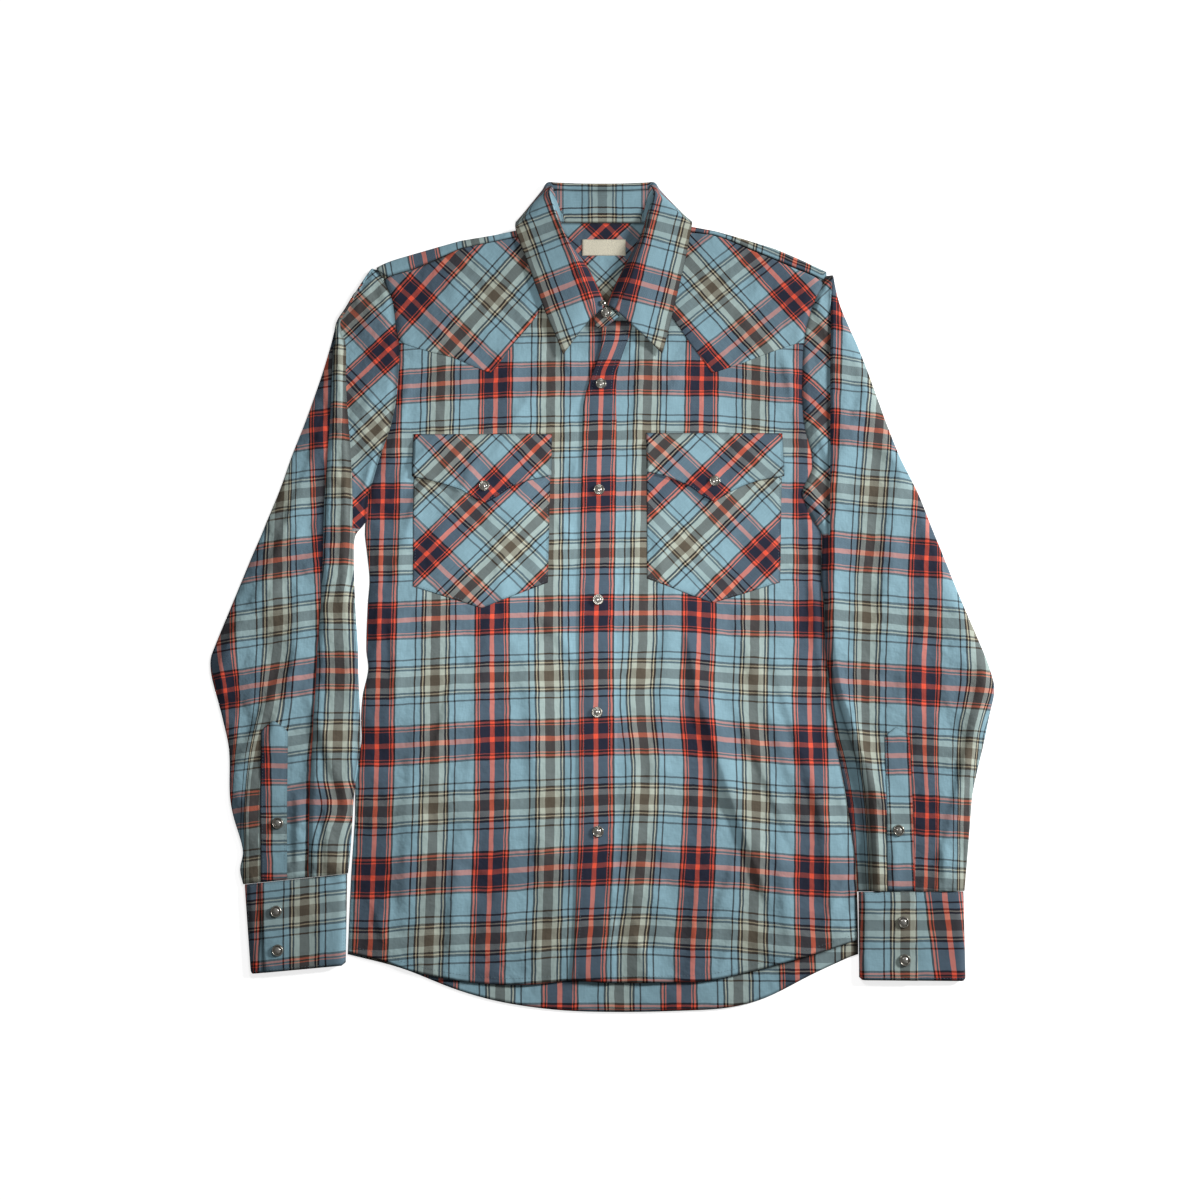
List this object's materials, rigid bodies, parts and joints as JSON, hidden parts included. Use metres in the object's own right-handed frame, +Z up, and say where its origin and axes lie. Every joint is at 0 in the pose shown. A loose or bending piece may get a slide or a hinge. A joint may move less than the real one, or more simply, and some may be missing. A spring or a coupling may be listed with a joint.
{
  "type": "western snap shirt",
  "caption": "Long-sleeved western snap shirt in blue plaid, laid flat face up, with pointed yokes, flap pockets, collar, cuffs and a shirt-tail hem.",
  "frame": {"origin": "centre of the laid-out shirt on the surface that it rests on", "axes": "+Z up from the surface, +Y towards the collar, +X towards the wearer's left sleeve as seen from above"},
  "size_m": [0.7743, 0.843, 0.0141],
  "materials": {
    "front_plaid": "dusty-blue, navy, sage and rust plaid cotton, matt",
    "back_plaid": "dusty-blue, navy, sage and rust plaid cotton, matt",
    "placket_plaid": "dusty-blue, navy, sage and rust plaid cotton, matt",
    "yoke_plaid": "dusty-blue, navy, sage and rust plaid cotton, matt",
    "bias_plaid": "dusty-blue, navy, sage and rust plaid cotton, matt",
    "sleeve_plaid": "dusty-blue, navy, sage and rust plaid cotton, matt",
    "cuff_plaid": "dusty-blue, navy, sage and rust plaid cotton, matt",
    "collar_plaid": "dusty-blue, navy, sage and rust plaid cotton, matt",
    "label_tape": "plain woven cream tape, matt",
    "snap_metal": "polished ring with a grey pearl centre"
  },
  "bodies": {
    "root": {"front_left": "front_plaid", "front_right": "front_plaid", "placket": "placket_plaid", "back": "back_plaid", "back_yoke": "yoke_plaid", "inner_yoke": "bias_plaid", "label": "label_tape", "front_yoke_left": "bias_plaid", "front_yoke_right": "bias_plaid", "pocket_left": "bias_plaid", "pocket_right": "bias_plaid", "pocket_flap_left": "bias_plaid", "pocket_flap_right": "bias_plaid", "sleeve_left": "sleeve_plaid", "sleeve_right": "sleeve_plaid", "sleeve_placket_left": "placket_plaid", "sleeve_placket_right": "placket_plaid", "cuff_left": "cuff_plaid", "cuff_right": "cuff_plaid", "collar_band": "collar_plaid", "collar_tab": "collar_plaid", "collar_leaf": "collar_plaid", "snap_placket_1": "snap_metal", "snap_placket_2": "snap_metal", "snap_placket_3": "snap_metal", "snap_placket_4": "snap_metal", "snap_placket_5": "snap_metal", "snap_collar": "snap_metal", "snap_pocket_left": "snap_metal", "snap_pocket_right": "snap_metal", "snap_sleeve_left": "snap_metal", "snap_sleeve_right": "snap_metal", "snap_cuff_left_1": "snap_metal", "snap_cuff_left_2": "snap_metal", "snap_cuff_right_1": "snap_metal", "snap_cuff_right_2": "snap_metal"}
  },
  "joints": []
}
